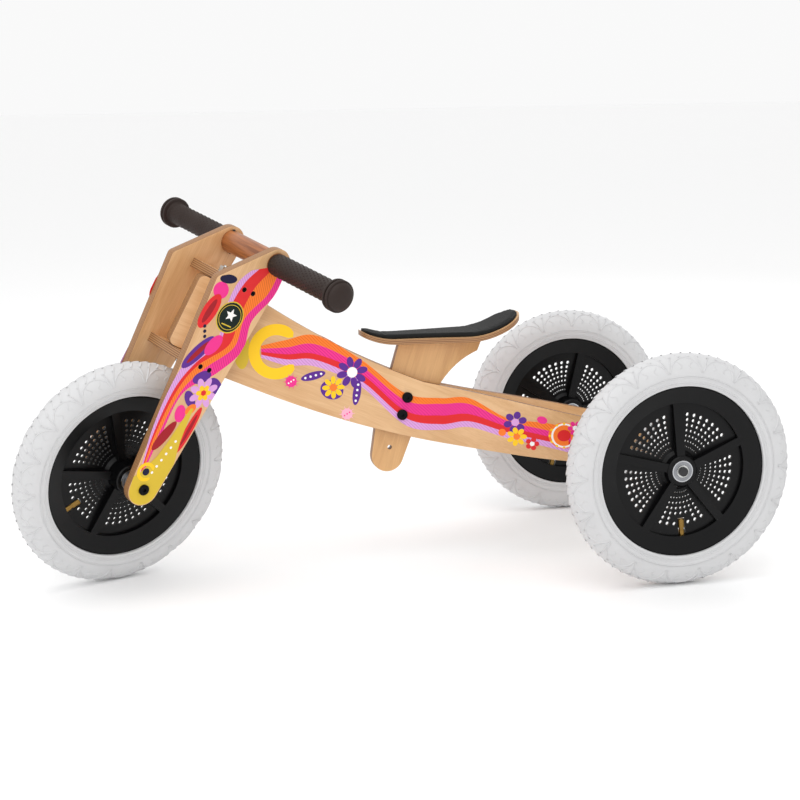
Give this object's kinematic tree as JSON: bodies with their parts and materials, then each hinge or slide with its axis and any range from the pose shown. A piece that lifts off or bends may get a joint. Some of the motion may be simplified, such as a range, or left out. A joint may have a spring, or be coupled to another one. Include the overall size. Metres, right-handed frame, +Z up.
{
  "type": "tricycle",
  "caption": "Children's ride-on tricycle: bent plywood frame that forks to the rear axle, plywood steering fork, saddle on a height-adjustable post, pale tyres on black pierced-disc wheels.",
  "frame": {"origin": "on the ground, under the middle of the overall length, in the centre plane of the frame", "axes": "+Z up, -Y forwards, +X to the left of a rider who faces forwards"},
  "size_m": [0.475, 0.9906, 0.4932],
  "materials": {
    "printed_ply": "clear-coated birch plywood with a printed outer face",
    "birch_ply": "clear-coated birch plywood",
    "oiled_dowel": "oiled hardwood",
    "grip_rubber": "dimpled moulded rubber",
    "pale_tyre": "pale grey moulded rubber",
    "tube_rubber": "matt",
    "rim_plastic": "black moulded plastic, satin",
    "nylon": "black, satin",
    "pad_cloth": "black foam with a cloth face",
    "black_steel": "black oxide",
    "zinc_steel": "zinc plated",
    "alloy": "satin",
    "bearing_steel": "polished",
    "valve_brass": "plain"
  },
  "bodies": {
    "frame": {"frame_arm_left": "printed_ply", "frame_arm_right": "printed_ply", "head_filler": "birch_ply", "head_tube": "zinc_steel", "head_bush_upper": "nylon", "head_bush_lower": "nylon", "rear_axle": "black_steel", "axle_cross_tube": "alloy", "axle_side_spacers": "alloy", "axle_clips": "zinc_steel", "rear_hub_sleeves": "alloy", "left_inner_rings": "bearing_steel", "right_inner_rings": "bearing_steel", "seat_post": "birch_ply", "seat_bolts": "black_steel", "seat_nuts": "black_steel", "seat_board": "birch_ply", "seat_pad": "pad_cloth", "seat_screws": "zinc_steel"},
    "fork": {"fork_blade_left": "printed_ply", "fork_blade_right": "printed_ply", "crown_board_upper": "birch_ply", "crown_board_lower": "birch_ply", "crown_screws": "black_steel", "handlebar": "oiled_dowel", "handlebar_pins": "black_steel", "grip_left": "grip_rubber", "grip_right": "grip_rubber", "steering_bolt": "zinc_steel", "steering_nut": "zinc_steel", "front_axle": "black_steel", "front_axle_bolts": "black_steel", "front_axle_spacers": "alloy", "front_hub_sleeve": "alloy", "front_inner_rings": "bearing_steel"},
    "front_wheel": {"front_tyre": "pale_tyre", "front_tube": "tube_rubber", "front_rim": "rim_plastic", "front_outer_rings": "bearing_steel", "front_shields": "bearing_steel", "front_valve": "valve_brass", "front_valve_cap": "valve_brass"},
    "left_wheel": {"left_tyre": "pale_tyre", "left_tube": "tube_rubber", "left_rim": "rim_plastic", "left_outer_rings": "bearing_steel", "left_shields": "bearing_steel", "left_valve": "valve_brass", "left_valve_cap": "valve_brass"},
    "right_wheel": {"right_tyre": "pale_tyre", "right_tube": "tube_rubber", "right_rim": "rim_plastic", "right_outer_rings": "bearing_steel", "right_shields": "bearing_steel", "right_valve": "valve_brass", "right_valve_cap": "valve_brass"},
    "front_ball_set": {"front_balls": "bearing_steel"},
    "left_ball_set": {"left_balls": "bearing_steel"},
    "right_ball_set": {"right_balls": "bearing_steel"}
  },
  "joints": [
    {"name": "steering", "type": "hinge", "parent": "frame", "child": "fork", "pos_m": [0, -0.18888, 0.44219], "axis": [0, 0.4695, 0.8829], "range_deg": [-58, 8]},
    {"name": "front_wheel_spin", "type": "hinge", "parent": "fork", "child": "front_wheel", "pos_m": [0.00338, -0.35256, 0.14981], "axis": [0.9063, 0.3731, -0.1984], "continuous": true},
    {"name": "left_wheel_spin", "type": "hinge", "parent": "frame", "child": "left_wheel", "pos_m": [0.216, 0.34278, 0.1525], "axis": [1, 0, 0], "continuous": true},
    {"name": "right_wheel_spin", "type": "hinge", "parent": "frame", "child": "right_wheel", "pos_m": [-0.216, 0.34278, 0.1525], "axis": [1, 0, 0], "continuous": true},
    {"name": "front_balls_roll", "type": "hinge", "parent": "fork", "child": "front_ball_set", "pos_m": [0.00338, -0.35256, 0.14981], "axis": [0.9063, 0.3731, -0.1984], "continuous": true},
    {"name": "left_balls_roll", "type": "hinge", "parent": "frame", "child": "left_ball_set", "pos_m": [0.216, 0.34278, 0.1525], "axis": [1, 0, 0], "continuous": true},
    {"name": "right_balls_roll", "type": "hinge", "parent": "frame", "child": "right_ball_set", "pos_m": [-0.216, 0.34278, 0.1525], "axis": [1, 0, 0], "continuous": true}
  ],
  "couplings": [
    {"joint": "front_balls_roll", "follows": "front_wheel_spin", "ratio": 0.61},
    {"joint": "left_balls_roll", "follows": "left_wheel_spin", "ratio": 0.61},
    {"joint": "right_balls_roll", "follows": "right_wheel_spin", "ratio": 0.61}
  ]
}
